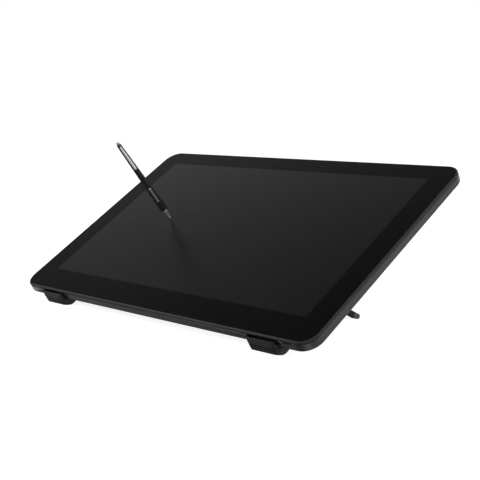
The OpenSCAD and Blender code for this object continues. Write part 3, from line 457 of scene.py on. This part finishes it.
inside = maths(tree, "MINIMUM", inside_by(across, LIT_MIDDLE[0], LIT_SIZE[0]),
               inside_by(along, LIT_MIDDLE[1], LIT_SIZE[1]))
lit = ranged(tree, inside, -LIT_RIM, LIT_RIM, 0.0, 1.0)
etched = place_group(tree, grain_group, **{"Scale": 5000.0, "Mottle Scale": 6.0})
film = place_group(tree, dust_group, Amount=0.01)
screen_grey = mixed(tree, etched.outputs["Mottle"], grey(LIT_GREY * 0.9), grey(LIT_GREY * 1.1))
printed = mixed(tree, lit, grey(PRINT_GREY), screen_grey)
tree.links.new(mixed(tree, film.outputs["Mask"], printed, grey(0.3)), shader.inputs["Base Color"])
tree.links.new(ranged(tree, etched.outputs["Height"], 0.3, 0.7, *GLASS_ROUGH), shader.inputs["Roughness"])
tree.links.new(ranged(tree, lit, 0.0, 1.0, 0.0, LIT_COAT), shader.inputs["Coat Weight"])
bump = add(tree, "Bump", {"Height": etched.outputs["Height"], "Strength": 1.0, "Distance": 0.000002})
tree.links.new(bump.outputs[0], shader.inputs["Normal"])
finishes["glass"] = glass_finish
print("lit area", np.round(LIT_SIZE / MM, 1), "mm around", np.round(LIT_MIDDLE / MM, 1))

# %% [markdown]
# ## Lip of the frame, seam and slit of the case
#
# The frame's upper edge is painted brighter than its sides, a painted highlight along the lip. Under the
# frame a narrow seam lets no light out, and the wall beside the small status slit lies in shade as well,
# so both are painted shade. The light of a real seam is lost after many bounces, which a render could
# follow, but a mask is quicker and has no noise: every point above a given height in the screen's frame
# takes the lighter or the darker colour, and the shaded parts lose their gloss.

# %% Frame lip, shaded seam and slit
LIP_LOW, LIP_HIGHLIGHT_GREY = -0.12 * MM, 0.075
SEAM_LOW, SLIT_RIM, SHADE_GREY = -3.61 * MM, 0.3 * MM, 0.003
tree = finishes["frame"].node_tree
# Painted highlight: the frame's upper lip is painted lighter.
overlay(finishes["frame"], maths(tree, "GREATER_THAN", on_screen(tree)[2], LIP_LOW), grey(LIP_HIGHLIGHT_GREY))
tree = finishes["case"].node_tree
slit_low, slit_high = turned_box(corners_of("status_lens") - GLASS_CENTRE)
across, _, level = on_screen(tree)
off_slit = maths(tree, "ABSOLUTE", maths(tree, "SUBTRACT", across, (slit_low[0] + slit_high[0]) / 2))
beside_slit = maths(tree, "LESS_THAN", off_slit, (slit_high[0] - slit_low[0]) / 2 + SLIT_RIM)
shade_low = ranged(tree, beside_slit, 0.0, 1.0, SEAM_LOW, slit_low[2] - SLIT_RIM)
# Painted shade in the seam under the frame and beside the status slit.
painted_seam_and_slit_shade = maths(tree, "GREATER_THAN", level, shade_low)
overlay(finishes["case"], painted_seam_and_slit_shade, grey(SHADE_GREY))
case_rough = tree.nodes["Principled BSDF"].inputs["Roughness"]
tree.links.new(maths(tree, "MAXIMUM", case_rough.links[0].from_socket, painted_seam_and_slit_shade), case_rough)
print("slit in mm", np.round((slit_high - slit_low)[[0, 2]] / MM, 1))

# %% [markdown]
# ## Ribbed rubber
#
# The rubber feet have level grooves, and painted shade darkens them. Each groove could be given its own
# mask, but they are evenly spaced: the height in the screen's frame, folded back and forth with the pitch
# of the grooves, gives the distance to the nearest one. The grooves end where the front does.

# %% Ribbed rubber
GROOVE_FIRST, GROOVE_PITCH, GROOVE_TOP = -19.1 * MM, 3.4 * MM, -7.6 * MM
GROOVE_DEEP, GROOVE_SIDE = 0.9 * MM, (0.5 * MM, 0.9 * MM)
ribbed_rubber = moulded("ribbed_rubber", 0.05, rough=0.7, grain=1800.0, depth=0.00003, rub_and_sheen=0.1, sheen=0.15)
tree = ribbed_rubber.node_tree
_, forward, level = on_screen(tree)
foot_front = turned_box(corners_of("foot_pad_left"))[0][1] - glass_middle[1]
off_groove = maths(tree, "PINGPONG", maths(tree, "SUBTRACT", level, GROOVE_FIRST), GROOVE_PITCH / 2)
groove_shade = maths(tree, "MULTIPLY", ranged(tree, off_groove, *GROOVE_SIDE, 1.0, 0.0),
               maths(tree, "LESS_THAN", level, GROOVE_TOP))
on_front = maths(tree, "LESS_THAN", forward, foot_front + GROOVE_DEEP)
# Painted shade: dark bands at the grooves' heights on the rubber's front.
overlay(ribbed_rubber, maths(tree, "MULTIPLY", groove_shade, on_front), grey(SHADE_GREY))
print("grooves every", round(GROOVE_PITCH / MM, 1), "mm")

# %% [markdown]
# ## Nose, end cap and trim of the stylus
#
# The stylus' nose is a satin cone with a painted highlight as a brighter ring at its wide end, its end cap
# is black with a face painted pale as a highlight, and the dark trim round the button has a painted
# highlight at both ends. Mirror-like metal would show the room instead of these bands, so all three are
# satin with painted highlights, and the distance along the stylus tells where a band begins.

# %% Stylus nose, end cap and trim
NOSE_RING_S, CAP_FACE_S, TRIM_END = 17.4 * MM, 157.6 * MM, 12.4 * MM
NOSE_RING_HIGHLIGHT_GREY, CAP_FACE_HIGHLIGHT_GREY, TRIM_END_HIGHLIGHT_GREY = 0.6, 0.45, 0.7
satin = dict(rough=0.38, grain=5000.0, depth=0.000002, edge=0.0001, dust=0.0)
nose_satin = moulded("satin_pen_nose", 0.2, -0.01, **satin)
tree = nose_satin.node_tree
# Painted highlight: a brighter ring at the nose's wide end.
overlay(nose_satin, maths(tree, "GREATER_THAN", on_pen(tree)[2], NOSE_RING_S), grey(NOSE_RING_HIGHLIGHT_GREY))
cap_satin = moulded("black_pen_cap", 0.02, rim_sheen=0.0, **satin)
tree = cap_satin.node_tree
# Painted highlight: the end cap's face is painted pale.
overlay(cap_satin, maths(tree, "GREATER_THAN", on_pen(tree)[2], CAP_FACE_S), grey(CAP_FACE_HIGHLIGHT_GREY))
trim_satin = moulded("pen_trim_satin", 0.012, -0.01, **satin)
tree = trim_satin.node_tree
rocker = in_pen(corners_of("pen_rocker"))
rocker_s = (rocker[:, 2].min() + rocker[:, 2].max()) / 2
from_middle = maths(tree, "ABSOLUTE", maths(tree, "SUBTRACT", on_pen(tree)[2], rocker_s))
# Painted highlight: both ends of the trim are painted bright.
overlay(trim_satin, maths(tree, "GREATER_THAN", from_middle, TRIM_END), grey(TRIM_END_HIGHLIGHT_GREY))
print("button in the middle of its trim,", round(rocker_s / MM, 1), "mm from the tip")

# %% [markdown]
# ## Dressing the solid pieces
#
# The record names a material slot for every solid piece, so most finishes go on by that name. A piece with a
# finish of its own takes that instead.

# %% Dress the solid pieces
slot_of = {row["node"]: row["material_slot"] for row in frame["record"]["subparts"]}
own_finish = {"foot_pad_left": ribbed_rubber, "foot_pad_right": ribbed_rubber,
              "pen_nose": nose_satin, "pen_end_cap": cap_satin, "pen_trim": trim_satin}
for name, piece in nodes.items():
    piece.data.materials.clear()
    piece.data.materials.append(own_finish[name] if name in own_finish else finishes[slot_of[name]])
print("dressed", len(slot_of), "nodes,", len(own_finish), "of them in a finish of their own")

# %% [markdown]
# ## Building pieces from grids
#
# Every added piece is a grid of points worked out from two parameters, such as the way along a strip and
# the way across it. Subdivision modelling would do as well, but a formula can be read, checked and changed.
# One helper turns grids into a smooth piece, welds points that coincide, turns the faces outwards and tells
# which moving body carries the piece.


# %% Grid helper
def surface(name, grids, outward, body, finish, ring=False):
    """A smooth piece from an array of grids shaped (copies, rows, columns, 3), in metres.

    Each quad joins a point with its neighbours in the next column and row. In a ring the last column joins
    the first. outward is a direction that most faces look along.
    """
    grids = np.asarray(grids, float)
    copies, rows, columns, _ = grids.shape
    row, column = np.meshgrid(np.arange(rows - 1), np.arange(columns - (not ring)), indexing="ij")
    beside = (column + 1) % columns
    quads = np.stack([row * columns + column, row * columns + beside,
                      (row + 1) * columns + beside, (row + 1) * columns + column], -1).reshape(-1, 4)
    quads = (quads + np.arange(copies)[:, None, None] * rows * columns).reshape(-1, 4)
    points = grids.reshape(-1, 3)
    diagonals = points[quads[:, 2]] - points[quads[:, 0]], points[quads[:, 3]] - points[quads[:, 1]]
    if (np.cross(*diagonals) @ np.asarray(outward)).sum() < 0:
        quads = quads[:, ::-1]
    mesh = bpy.data.meshes.new(name)
    mesh.from_pydata(points, [], quads)
    welded = bmesh.new()
    welded.from_mesh(mesh)
    bmesh.ops.remove_doubles(welded, verts=welded.verts, dist=1e-7)
    bmesh.ops.dissolve_degenerate(welded, edges=welded.edges, dist=1e-7)
    welded.to_mesh(mesh)
    welded.free()
    mesh.polygons.foreach_set("use_smooth", np.ones(len(mesh.polygons), bool))
    mesh.materials.append(finish)
    piece = bpy.data.objects.new(name, mesh)
    bpy.context.scene.collection.objects.link(piece)
    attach(piece, body)
    print(name, "on", body, "faces", len(mesh.polygons))
    return piece


def ramp(value, low, high):
    """0 below low, 1 above high, and a smooth step (3 t^2 - 2 t^3) in between."""
    t = np.clip((value - low) / (high - low), 0, 1)
    return t * t * (3 - 2 * t)


# %% [markdown]
# ## Pale inlay on the barrel
#
# A pale satin strip lies in the upper barrel. It could be painted with a mask, but a real strip stands a
# little proud, and its round ends and edges catch the light. So it is a patch of the barrel's cone: one
# parameter runs along the barrel, the other across the strip. Towards its ends the strip narrows like a half
# circle, and its edges dip just under the barrel's skin.

# %% Barrel inlay
INLAY_S = (108.5 * MM, 153.5 * MM)
INLAY_HALF = math.radians(29)
INLAY_TURN = math.radians(3)
INLAY_END = 2.2 * MM
INLAY_PROUD = 0.12 * MM
INLAY_SINK = 0.08 * MM
along = (1 - np.cos(np.linspace(0, math.pi, 90))) / 2
s = INLAY_S[0] + (INLAY_S[1] - INLAY_S[0]) * along[:, None]
across = np.linspace(-1, 1, 25)[None, :]
to_end = np.minimum(s - INLAY_S[0], INLAY_S[1] - s)
narrowing = np.sqrt(1 - (1 - np.clip(to_end / INLAY_END, 0.02, 1)) ** 2)
angle = INLAY_TURN + INLAY_HALF * narrowing * across
edge = np.maximum(np.abs(across) ** 6, 1 - ramp(to_end, 0, 0.3 * MM))
radius = barrel_r(s) + INLAY_PROUD - (INLAY_PROUD + INLAY_SINK) * edge
inlay = np.stack([radius * np.cos(angle), radius * np.sin(angle), s + 0 * angle], -1)
finishes["pen_inlay"] = moulded("pale_satin_inlay", 0.7, -0.025, rough=0.4, grain=5000.0, depth=0.000001,
                                swing=0.03, edge=0.0001, rub_and_sheen=0.0, dust=0.0)
surface("pen_inlay", [from_pen(inlay)], PEN[0], "stylus", finishes["pen_inlay"])

# %% [markdown]
# ## The rocker's ridges
#
# The side button rocks about its middle. Its top is hollowed for the finger, cut across by fine ridges and
# split by a groove between the two clicks. The solid rocker is plain, so this piece stands in for it. It is
# spread from the button's middle line: one parameter runs round the stadium outline, the other from the
# middle line out to the rim and then down the side.

# %% Ridged rocker
ROCKER_LONG, ROCKER_WIDE = 25.5 * MM, 3.0 * MM
ROCKER_OUT, ROCKER_DIP, ROCKER_RIM = 0.5 * MM, 0.3 * MM, 0.45 * MM
ROCKER_DEEP = 1.2 * MM
RIDGE_PITCH, RIDGE_HIGH, RIDGE_END = 1.7 * MM, 0.1 * MM, 9.5 * MM
SPLIT_DEEP, SPLIT_HALF = 0.16 * MM, 0.35 * MM
half_wide = ROCKER_WIDE / 2
half_line = ROCKER_LONG / 2 - half_wide
# One turn round the outline: along one side, round the end, back along the other side, round the other end
straight = np.linspace(-half_line, half_line, 120, endpoint=False)
bend = np.linspace(-math.pi / 2, math.pi / 2, 24, endpoint=False)
middle_line = np.concatenate([straight, np.full(24, half_line), -straight, np.full(24, -half_line)])
out_angle = np.concatenate([np.full(120, -math.pi / 2), bend, np.full(120, math.pi / 2), bend + math.pi])
spread = np.concatenate([np.linspace(0, 0.6, 6), np.linspace(0.62, 1, 12), np.ones(4)])[:, None]
drop = np.concatenate([np.zeros(18), np.linspace(0.1, ROCKER_DEEP / MM, 4)])[:, None] * MM
z = middle_line + spread * half_wide * np.cos(out_angle)
y = spread * half_wide * np.sin(out_angle)
to_rim = half_wide * (1 - spread)
rim_fall = ROCKER_RIM - np.sqrt(ROCKER_RIM ** 2 - np.clip(ROCKER_RIM - to_rim, 0, ROCKER_RIM) ** 2)
ridge_fade = 1 - ramp(np.abs(z), RIDGE_END - RIDGE_PITCH, RIDGE_END)
ridges = RIDGE_HIGH * (0.5 - 0.5 * np.cos(2 * math.pi * z / RIDGE_PITCH)) * ridge_fade
split = SPLIT_DEEP * np.exp(-(z / SPLIT_HALF) ** 2)
hollow = ROCKER_DIP * (1 - (2 * z / ROCKER_LONG) ** 2)
x = ROCKER_OUT - hollow + (ridges - split) * ramp(to_rim, 0, ROCKER_RIM) - rim_fall - drop
tilt_c, tilt_s = math.cos(PEN_TAPER), math.sin(PEN_TAPER)
rocker_grid = np.stack([barrel_r(rocker_s) + x * tilt_c - z * tilt_s, y,
                        rocker_s + x * tilt_s + z * tilt_c], -1)
rocker_piece = surface("pen_rocker_ridged", [from_pen(rocker_grid)], PEN[0], "pen_rocker",
                       finishes["pen_key"], ring=True)
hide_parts("pen_rocker")

# %% [markdown]
# ## Ribs on the rubber feet
#
# The rubber faces of the front feet carry thin raised ribs that keep the tablet from sliding off a lap. A
# rib could be a swept curve, but a formula fits the foot more closely: it is a half-round bead carried along
# the foot's outline seen from above, a straight front and two round corners, and it shrinks to nothing
# towards its ends. One parameter runs along the outline, the other over the bead.

# %% Foot ribs
FOOT_CORNER = 8.0 * MM
RIB_LEVELS = np.array([-17.4, -14.0, -10.6, -8.2]) * MM
RIB_HALF, RIB_PROUD, RIB_SINK = 0.6 * MM, 0.45 * MM, 0.1 * MM
RIB_BEND = math.radians(50)


def from_screen(points):
    """Points of the screen's frame, measured from the middle of the glass, in the world."""
    return (points + glass_middle) @ SCREEN


def foot_ribs(node):
    """Grids of all ribs of one foot: outline points plus a bead of cosine height along the normal."""
    low, high = turned_box(corners_of(node))
    low, high = low - glass_middle, high - glass_middle
    middle, flat = (low[0] + high[0]) / 2, (high[0] - low[0]) / 2 - FOOT_CORNER
    bend = np.linspace(0, RIB_BEND, 16)
    turn = np.concatenate([-bend[::-1], np.zeros(30), bend])[:, None]
    start = np.concatenate([np.full(16, -flat), np.linspace(-flat, flat, 30), np.full(16, flat)])[:, None]
    over = np.linspace(-1, 1, 13)[None, :] * math.pi / 2
    fade = 1 - ramp(np.abs(turn), RIB_BEND * 0.3, RIB_BEND)
    proud = FOOT_CORNER + (RIB_PROUD + RIB_SINK) * np.cos(over) * fade - RIB_SINK
    x = middle + start + proud * np.sin(turn)
    y = low[1] + FOOT_CORNER - proud * np.cos(turn)
    z = RIB_HALF * np.sin(over) + 0 * turn
    levels = RIB_LEVELS[:, None, None]
    return from_screen(np.stack([x + 0 * levels, y + 0 * levels, z + levels], -1))


for where in ("left", "right"):
    surface("foot_ribs_" + where, foot_ribs("foot_pad_" + where), -SCREEN[1], "tablet",
            finishes["rubber"])

# %% [markdown]
# ## Screw heads on the back
#
# The rear cover is held by eight screws in sunk holes. The solid heads are plain discs, and cutting a cross
# into them would need many small faces. So each gets a domed face with a cross recess, drawn as a height
# over polar coordinates: a flat-topped dome less a soft-edged cross.

# %% Screw faces
SCREW_INSET, SCREW_MIDDLE = 18.0 * MM, 100.0 * MM
HEAD_R, HEAD_DOME, HEAD_FOOT = 2.6 * MM, 0.34 * MM, 0.04 * MM
CROSS_HALF, CROSS_LONG, CROSS_DEEP, CROSS_SOFT = 0.42 * MM, 1.7 * MM, 0.3 * MM, 0.12 * MM
half_size = (glass_high - glass_low)[:2] / 2 - SCREW_INSET
places = np.array([(x, y) for x in (-half_size[0], -SCREW_MIDDLE, SCREW_MIDDLE, half_size[0])
                   for y in (-half_size[1], half_size[1])])
head_level = turned_box(corners_of("case_screws"))[0][2] - glass_middle[2]
r = HEAD_R * np.linspace(0, 1, 40)[:, None]
round_about = np.linspace(0, 2 * math.pi, 96, endpoint=False)[None, :]
x, y = r * np.cos(round_about), r * np.sin(round_about)


def arm(a, b):
    """1 inside a bar along b through the middle, 0 outside, with soft sides."""
    within_sides = 1 - ramp(np.abs(a), CROSS_HALF - CROSS_SOFT, CROSS_HALF)
    within_ends = 1 - ramp(np.abs(b), CROSS_LONG - CROSS_SOFT, CROSS_LONG)
    return within_sides * within_ends


height = HEAD_FOOT + HEAD_DOME * (1 - (r / HEAD_R) ** 6) - CROSS_DEEP * np.maximum(arm(x, y), arm(y, x))
heads = np.stack([places[:, :1, None] + x, places[:, 1:, None] + y,
                  head_level - height + 0 * places[:, :1, None]], -1)
surface("case_screw_faces", from_screen(heads), -SCREEN[2], "tablet", finishes["dark_screw"],
        ring=True)

# %% [markdown]
# ## Tongues in the sockets
#
# The two sockets on the top edge hold a thin tongue with a row of gilt contacts. A tongue is a flat rounded
# bar: a superellipse section carried inwards from the mouth, closed by shrinking to nothing at its nose. The
# contacts are too fine to model, so a wave along the tongue's width turns plastic into metal and back.

# %% Socket tongues
TONGUE_WIDE, TONGUE_THICK, TONGUE_BACK = 6.4 * MM, 0.7 * MM, 1.0 * MM
TONGUE_NOSE, CONTACT_PITCH = 0.4 * MM, 0.9 * MM
shells = corners_of("usb_ports") @ SCREEN.T - glass_middle
round_about = np.linspace(0, 2 * math.pi, 64, endpoint=False)[None, :]
inwards = np.concatenate([np.linspace(0, 1, 10) ** 2 * TONGUE_NOSE, [3.0 * MM, 5.4 * MM]])[:, None]
nose = np.sqrt(np.clip(1 - (1 - np.clip(inwards / TONGUE_NOSE, 0, 1)) ** 2, 0, 1))
circle = np.stack([np.cos(round_about), np.sin(round_about)])
half_section = np.array([TONGUE_WIDE, TONGUE_THICK])[:, None, None] / 2
section = np.sign(circle) * np.abs(circle) ** 0.4 * half_section
tongues = []
for side_sign in (-1, 1):
    shell = shells[np.sign(shells[:, 0]) == side_sign]
    low, high = shell.min(0), shell.max(0)
    tongues.append(np.stack([(low[0] + high[0]) / 2 + section[0] * (0.9 + 0.1 * nose) * (nose > 0),
                             high[1] - TONGUE_BACK - inwards + 0 * round_about,
                             (low[2] + high[2]) / 2 + section[1] * nose], -1))
gilt, tree, shader = start_finish("gilt_contacts", Roughness=0.3)
columns = add(tree, "SeparateXYZ", {0: add(tree, "TexCoord").outputs["Object"]}).outputs[0]
stripe = maths(tree, "SINE", maths(tree, "MULTIPLY", columns, 2 * math.pi / CONTACT_PITCH))
contact = ranged(tree, stripe, -0.1, 0.1, 0.0, 1.0)
tree.links.new(mixed(tree, contact, grey(0.012), (0.75, 0.52, 0.2, 1.0)), shader.inputs["Base Color"])
tree.links.new(contact, shader.inputs["Metallic"])
surface("socket_tongues", from_screen(np.array(tongues)), SCREEN[1], "tablet", gilt, ring=True)

# %% [markdown]
# ## Floor, backdrop and light
#
# The picture has a plain white ground, and the black object shows its shape by what it mirrors: a bright
# band near the horizon and darkness above. So the sky is bright low down and dark overhead. To the camera
# the sky and the floor look white, and the floor keeps a diffuse part that carries the object's soft shadow.
# In the object's own reflections the floor glows in a painted pattern: a painted shadow under the object's
# ends, one painted stripe of light just beside them, and pale further out. That pattern of dark and light
# is what draws the round corners of the case.

# %% Floor
FLOOR_SIZE = 40.0
FLOOR_GREY = 0.5
GLOW_NEAR = 0.86
GLOW_REACH = 0.5
# Painted shadow and light for reflections: the floor's glow seen in gloss is dark under the object and bright just
# beside it.
MIRROR_SHADOW_AND_LIGHT_STOPS = ((-0.042, 0.1), (-0.03, 0.0), (-0.017, 0.0), (-0.002, 1.0), (0.003, 1.0), (0.013, 0.2),
                (0.035, 0.58))
FLOOR_DROP = 0.2 * MM
floor_mesh = bpy.data.meshes.new("floor")
half = FLOOR_SIZE / 2
floor_corners = [(-half, -half, 0), (half, -half, 0), (half, half, 0), (-half, half, 0)]
floor_mesh.from_pydata(floor_corners, [], [(0, 1, 2, 3)])
floor = bpy.data.objects.new("floor", floor_mesh)
floor.location.z = -FLOOR_DROP
bpy.context.scene.collection.objects.link(floor)

floor_finish = bpy.data.materials.new("pale_floor")
floor_finish.use_nodes = True
tree = floor_finish.node_tree
tree.nodes.clear()
spot = add(tree, "TexCoord").outputs["Object"]
mirrored_spot = add(tree, "VectorMath", {0: spot}, operation="ABSOLUTE").outputs[0]
footprint = (cad_high[0], cad_high[1], 0.0)
beyond = add(tree, "VectorMath", {0: mirrored_spot, 1: footprint}, operation="SUBTRACT").outputs[0]
outside = add(tree, "VectorMath", {0: beyond, 1: (0.0, 0.0, 0.0)}, operation="MAXIMUM").outputs[0]
away = add(tree, "VectorMath", {0: outside}, operation="LENGTH").outputs["Value"]
path = add(tree, "LightPath").outputs
seen = maths(tree, "MULTIPLY", path["Is Camera Ray"], ranged(tree, away, 0.0, GLOW_REACH, GLOW_NEAR, 1.0))
aside = add(tree, "SeparateXYZ", {0: beyond}).outputs[0]
# Painted shadow and light, seen only by glossy rays.
mirrored_shadow_and_light = maths(tree, "MULTIPLY", path["Is Glossy Ray"], graded(tree, aside, MIRROR_SHADOW_AND_LIGHT_STOPS))
glow = add(tree, "Emission", {"Strength": maths(tree, "ADD", seen, mirrored_shadow_and_light)})
matt = add(tree, "BsdfDiffuse", {"Color": grey(FLOOR_GREY)})
both = add(tree, "AddShader", {0: glow.outputs[0], 1: matt.outputs[0]})
add(tree, "OutputMaterial", {"Surface": both.outputs[0]})
floor.data.materials.append(floor_finish)
print("floor of", FLOOR_SIZE, "m, grey", FLOOR_GREY)

# %% Sky
HORIZON = 1.0
OVERHEAD = 0.02
BAND = (0.1, 0.5)
world = bpy.data.worlds.new("studio")
bpy.context.scene.world = world
world.use_nodes = True
tree = world.node_tree
tree.nodes.clear()
height = add(tree, "SeparateXYZ", {0: add(tree, "TexCoord").outputs["Generated"]}).outputs[2]
sky = ranged(tree, height, *BAND, HORIZON, OVERHEAD)
shown = mixed(tree, add(tree, "LightPath").outputs["Is Camera Ray"], sky, grey(1.0))
backdrop = add(tree, "Background", {"Color": shown, "Strength": 1.0})
add(tree, "OutputWorld", {"Surface": backdrop.outputs[0]})
print("sky from", HORIZON, "at the horizon to", OVERHEAD, "overhead")


# %% [markdown]
# ## Three soft lamps
#
# The key stands close at the front left and throws the stylus' shadow across the glass to the right. A card
# at the right lifts the side wall. A dim, wide card far at the back left is what the glass mirrors. It hangs
# parallel to the glass, and its edge is laid so that its image runs slantwise over the screen: the part
# above the slant is grey, the part below falls off to black, and the etched glass blurs the step into a long
# fade.

# %% Lamps
def soft_light(name, place, aim, sides, power, along=(0, 0, 1)):
    """A rectangular lamp at place that faces aim: its sides in metres, the first laid along a direction."""
    data = bpy.data.lights.new(name, "AREA")
    data.shape = "RECTANGLE"
    data.size, data.size_y = sides
    data.energy = power
    back = (Vector(place) - Vector(aim)).normalized()
    first = Vector(along) - back * back.dot(Vector(along))
    first.normalize()
    lamp = bpy.data.objects.new(name, data)
    turned = Matrix((first, back.cross(first), back)).transposed().to_4x4()
    lamp.matrix_world = Matrix.Translation(Vector(place)) @ turned
    lamp.visible_camera = False
    bpy.context.scene.collection.objects.link(lamp)
    return lamp


KEY_PLACE, KEY_AIM, KEY_SIDES, KEY_WATTS = (-0.62, -0.75, 0.52), (-0.1, 0.0, 0.1), (0.35, 0.35), 6.0
RIGHT_PLACE, RIGHT_AIM, RIGHT_SIDES, RIGHT_WATTS = (1.8, 0.35, 0.45), (0.0, 0.0, 0.1), (1.2, 1.2), 29.0
CARD_PLACE = GLASS_CENTRE + np.array([-1.726, 1.124, 1.582])
CARD_SLANT = 0.857 * SCREEN[0] + 0.514 * SCREEN[1]
CARD_SIDES, CARD_WATTS = (2.2, 1.54), 8.0
soft_light("key", KEY_PLACE, KEY_AIM, KEY_SIDES, KEY_WATTS)
soft_light("right_card", RIGHT_PLACE, RIGHT_AIM, RIGHT_SIDES, RIGHT_WATTS)
soft_light("mirror_card", CARD_PLACE, CARD_PLACE - SCREEN[2], CARD_SIDES, CARD_WATTS, CARD_SLANT)
